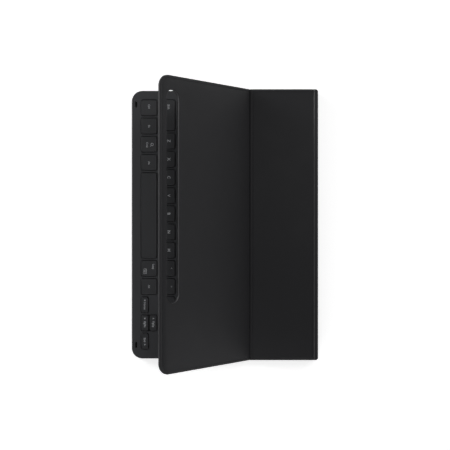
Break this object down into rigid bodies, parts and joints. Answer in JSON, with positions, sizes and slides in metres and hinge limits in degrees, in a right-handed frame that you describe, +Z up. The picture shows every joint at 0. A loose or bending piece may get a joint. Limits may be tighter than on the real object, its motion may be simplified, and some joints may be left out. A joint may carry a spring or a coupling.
{
  "type": "tablet keyboard case",
  "caption": "Slim black folio case for a tablet, with a keyboard base, an upright spine and a cover that folds in two and has a long rounded slot.",
  "frame": {"origin": "centre of the case's outline, on the flat underside of the keyboard base", "axes": "+X to the typist's right along the longest side, +Y away from the typist towards the spine, +Z up out of the keys"},
  "size_m": [0.254, 0.176, 0.0944],
  "materials": {
    "cover_leather": "satin grained artificial leather",
    "microfibre": "soft brushed lining",
    "stiffener": "matte board",
    "deck_plastic": "matte moulded",
    "key_plastic": "matte moulded with printed legends",
    "contact_metal": "gold plated",
    "magnet": "nickel plated",
    "rubber": "matte",
    "plate": "rolled sheet",
    "film": "clear film",
    "circuit_board": "solder mask"
  },
  "bodies": {
    "keyboard_base": {"base_outer_skin": "cover_leather", "base_plate": "plate", "switch_membrane": "film", "dome_sheet": "film", "deck_frame": "deck_plastic", "control_board": "circuit_board", "flex_cable": "film", "dock_bar": "deck_plastic", "dock_magnet_left": "magnet", "dock_magnet_right": "magnet", "front_bumper_left": "rubber", "front_bumper_right": "rubber", "base_crease": "cover_leather"},
    "spine": {"spine_skin": "cover_leather", "spine_core": "stiffener", "spine_lining": "microfibre", "spine_crease": "cover_leather"},
    "lower_panel": {"lower_panel_skin": "cover_leather", "lower_panel_core": "stiffener", "lower_panel_lining": "microfibre", "fold_crease": "cover_leather"},
    "upper_panel": {"upper_panel_skin": "cover_leather", "upper_panel_core": "stiffener", "upper_panel_lining": "microfibre", "upper_panel_magnet_left": "magnet", "upper_panel_magnet_right": "magnet"},
    "key_control": {"key_control": "key_plastic"},
    "key_function": {"key_function": "key_plastic"},
    "key_command": {"key_command": "key_plastic"},
    "key_alt_left": {"key_alt_left": "key_plastic"},
    "key_space": {"key_space": "key_plastic"},
    "key_language": {"key_language": "key_plastic"},
    "key_alt_right": {"key_alt_right": "key_plastic"},
    "key_left": {"key_left": "key_plastic"},
    "key_up": {"key_up": "key_plastic"},
    "key_down": {"key_down": "key_plastic"},
    "key_right": {"key_right": "key_plastic"},
    "key_shift_left": {"key_shift_left": "key_plastic"},
    "key_z": {"key_z": "key_plastic"},
    "key_x": {"key_x": "key_plastic"},
    "key_c": {"key_c": "key_plastic"},
    "key_v": {"key_v": "key_plastic"},
    "key_b": {"key_b": "key_plastic"},
    "key_n": {"key_n": "key_plastic"},
    "key_m": {"key_m": "key_plastic"},
    "key_comma": {"key_comma": "key_plastic"},
    "key_period": {"key_period": "key_plastic"},
    "key_slash": {"key_slash": "key_plastic"},
    "key_shift_right": {"key_shift_right": "key_plastic"},
    "key_strip_home_left": {"key_strip_home_left": "key_plastic"},
    "key_strip_home_right": {"key_strip_home_right": "key_plastic"},
    "key_strip_upper_left": {"key_strip_upper_left": "key_plastic"},
    "key_strip_upper_right": {"key_strip_upper_right": "key_plastic"},
    "key_strip_number_left": {"key_strip_number_left": "key_plastic"},
    "key_strip_number_middle": {"key_strip_number_middle": "key_plastic"},
    "key_strip_number_right": {"key_strip_number_right": "key_plastic"},
    "contact_pin_left": {"contact_pin_left": "contact_metal"},
    "contact_pin_middle": {"contact_pin_middle": "contact_metal"},
    "contact_pin_right": {"contact_pin_right": "contact_metal"}
  },
  "joints": [
    {"name": "fold_hinge", "type": "hinge", "parent": "lower_panel", "child": "upper_panel", "pos_m": [0, 0.0234, 0.01475], "axis": [-1, 0, 0], "range_deg": [-45.8, 125], "deforming": ["fold_crease"]},
    {"name": "panel_hinge", "type": "hinge", "parent": "spine", "child": "lower_panel", "pos_m": [0, 0.0873, 0.01405], "axis": [-1, 0, 0], "range_deg": [0, 90], "deforming": ["spine_crease"]},
    {"name": "spine_hinge", "type": "hinge", "parent": "keyboard_base", "child": "spine", "pos_m": [0, 0.0873, 0.0007], "axis": [-1, 0, 0], "range_deg": [0, 90], "deforming": ["base_crease"]},
    {"name": "key_control_press", "type": "slide", "parent": "keyboard_base", "child": "key_control", "axis": [0, 0, 1], "range_m": [-0.001, 0], "stiffness_N_per_m": 400, "springref_m": 0.0003},
    {"name": "key_function_press", "type": "slide", "parent": "keyboard_base", "child": "key_function", "axis": [0, 0, 1], "range_m": [-0.001, 0], "stiffness_N_per_m": 400, "springref_m": 0.0003},
    {"name": "key_command_press", "type": "slide", "parent": "keyboard_base", "child": "key_command", "axis": [0, 0, 1], "range_m": [-0.001, 0], "stiffness_N_per_m": 400, "springref_m": 0.0003},
    {"name": "key_alt_left_press", "type": "slide", "parent": "keyboard_base", "child": "key_alt_left", "axis": [0, 0, 1], "range_m": [-0.001, 0], "stiffness_N_per_m": 400, "springref_m": 0.0003},
    {"name": "key_space_press", "type": "slide", "parent": "keyboard_base", "child": "key_space", "axis": [0, 0, 1], "range_m": [-0.001, 0], "stiffness_N_per_m": 400, "springref_m": 0.0003},
    {"name": "key_language_press", "type": "slide", "parent": "keyboard_base", "child": "key_language", "axis": [0, 0, 1], "range_m": [-0.001, 0], "stiffness_N_per_m": 400, "springref_m": 0.0003},
    {"name": "key_alt_right_press", "type": "slide", "parent": "keyboard_base", "child": "key_alt_right", "axis": [0, 0, 1], "range_m": [-0.001, 0], "stiffness_N_per_m": 400, "springref_m": 0.0003},
    {"name": "key_left_press", "type": "slide", "parent": "keyboard_base", "child": "key_left", "axis": [0, 0, 1], "range_m": [-0.001, 0], "stiffness_N_per_m": 400, "springref_m": 0.0003},
    {"name": "key_up_press", "type": "slide", "parent": "keyboard_base", "child": "key_up", "axis": [0, 0, 1], "range_m": [-0.001, 0], "stiffness_N_per_m": 400, "springref_m": 0.0003},
    {"name": "key_down_press", "type": "slide", "parent": "keyboard_base", "child": "key_down", "axis": [0, 0, 1], "range_m": [-0.001, 0], "stiffness_N_per_m": 400, "springref_m": 0.0003},
    {"name": "key_right_press", "type": "slide", "parent": "keyboard_base", "child": "key_right", "axis": [0, 0, 1], "range_m": [-0.001, 0], "stiffness_N_per_m": 400, "springref_m": 0.0003},
    {"name": "key_shift_left_press", "type": "slide", "parent": "keyboard_base", "child": "key_shift_left", "axis": [0, 0, 1], "range_m": [-0.001, 0], "stiffness_N_per_m": 400, "springref_m": 0.0003},
    {"name": "key_z_press", "type": "slide", "parent": "keyboard_base", "child": "key_z", "axis": [0, 0, 1], "range_m": [-0.001, 0], "stiffness_N_per_m": 400, "springref_m": 0.0003},
    {"name": "key_x_press", "type": "slide", "parent": "keyboard_base", "child": "key_x", "axis": [0, 0, 1], "range_m": [-0.001, 0], "stiffness_N_per_m": 400, "springref_m": 0.0003},
    {"name": "key_c_press", "type": "slide", "parent": "keyboard_base", "child": "key_c", "axis": [0, 0, 1], "range_m": [-0.001, 0], "stiffness_N_per_m": 400, "springref_m": 0.0003},
    {"name": "key_v_press", "type": "slide", "parent": "keyboard_base", "child": "key_v", "axis": [0, 0, 1], "range_m": [-0.001, 0], "stiffness_N_per_m": 400, "springref_m": 0.0003},
    {"name": "key_b_press", "type": "slide", "parent": "keyboard_base", "child": "key_b", "axis": [0, 0, 1], "range_m": [-0.001, 0], "stiffness_N_per_m": 400, "springref_m": 0.0003},
    {"name": "key_n_press", "type": "slide", "parent": "keyboard_base", "child": "key_n", "axis": [0, 0, 1], "range_m": [-0.001, 0], "stiffness_N_per_m": 400, "springref_m": 0.0003},
    {"name": "key_m_press", "type": "slide", "parent": "keyboard_base", "child": "key_m", "axis": [0, 0, 1], "range_m": [-0.001, 0], "stiffness_N_per_m": 400, "springref_m": 0.0003},
    {"name": "key_comma_press", "type": "slide", "parent": "keyboard_base", "child": "key_comma", "axis": [0, 0, 1], "range_m": [-0.001, 0], "stiffness_N_per_m": 400, "springref_m": 0.0003},
    {"name": "key_period_press", "type": "slide", "parent": "keyboard_base", "child": "key_period", "axis": [0, 0, 1], "range_m": [-0.001, 0], "stiffness_N_per_m": 400, "springref_m": 0.0003},
    {"name": "key_slash_press", "type": "slide", "parent": "keyboard_base", "child": "key_slash", "axis": [0, 0, 1], "range_m": [-0.001, 0], "stiffness_N_per_m": 400, "springref_m": 0.0003},
    {"name": "key_shift_right_press", "type": "slide", "parent": "keyboard_base", "child": "key_shift_right", "axis": [0, 0, 1], "range_m": [-0.001, 0], "stiffness_N_per_m": 400, "springref_m": 0.0003},
    {"name": "key_strip_home_left_press", "type": "slide", "parent": "keyboard_base", "child": "key_strip_home_left", "axis": [0, 0, 1], "range_m": [-0.001, 0], "stiffness_N_per_m": 1600, "springref_m": 0.0003},
    {"name": "key_strip_home_right_press", "type": "slide", "parent": "keyboard_base", "child": "key_strip_home_right", "axis": [0, 0, 1], "range_m": [-0.001, 0], "stiffness_N_per_m": 1600, "springref_m": 0.0003},
    {"name": "key_strip_upper_left_press", "type": "slide", "parent": "keyboard_base", "child": "key_strip_upper_left", "axis": [0, 0, 1], "range_m": [-0.001, 0], "stiffness_N_per_m": 1600, "springref_m": 0.0003},
    {"name": "key_strip_upper_right_press", "type": "slide", "parent": "keyboard_base", "child": "key_strip_upper_right", "axis": [0, 0, 1], "range_m": [-0.001, 0], "stiffness_N_per_m": 1600, "springref_m": 0.0003},
    {"name": "key_strip_number_left_press", "type": "slide", "parent": "keyboard_base", "child": "key_strip_number_left", "axis": [0, 0, 1], "range_m": [-0.001, 0], "stiffness_N_per_m": 1600, "springref_m": 0.0003},
    {"name": "key_strip_number_middle_press", "type": "slide", "parent": "keyboard_base", "child": "key_strip_number_middle", "axis": [0, 0, 1], "range_m": [-0.001, 0], "stiffness_N_per_m": 1600, "springref_m": 0.0003},
    {"name": "key_strip_number_right_press", "type": "slide", "parent": "keyboard_base", "child": "key_strip_number_right", "axis": [0, 0, 1], "range_m": [-0.001, 0], "stiffness_N_per_m": 1600, "springref_m": 0.0003},
    {"name": "contact_pin_left_press", "type": "slide", "parent": "keyboard_base", "child": "contact_pin_left", "axis": [0, 0, 1], "range_m": [-0.0004, 0], "stiffness_N_per_m": 300, "springref_m": 0.0003},
    {"name": "contact_pin_middle_press", "type": "slide", "parent": "keyboard_base", "child": "contact_pin_middle", "axis": [0, 0, 1], "range_m": [-0.0004, 0], "stiffness_N_per_m": 300, "springref_m": 0.0003},
    {"name": "contact_pin_right_press", "type": "slide", "parent": "keyboard_base", "child": "contact_pin_right", "axis": [0, 0, 1], "range_m": [-0.0004, 0], "stiffness_N_per_m": 300, "springref_m": 0.0003}
  ]
}
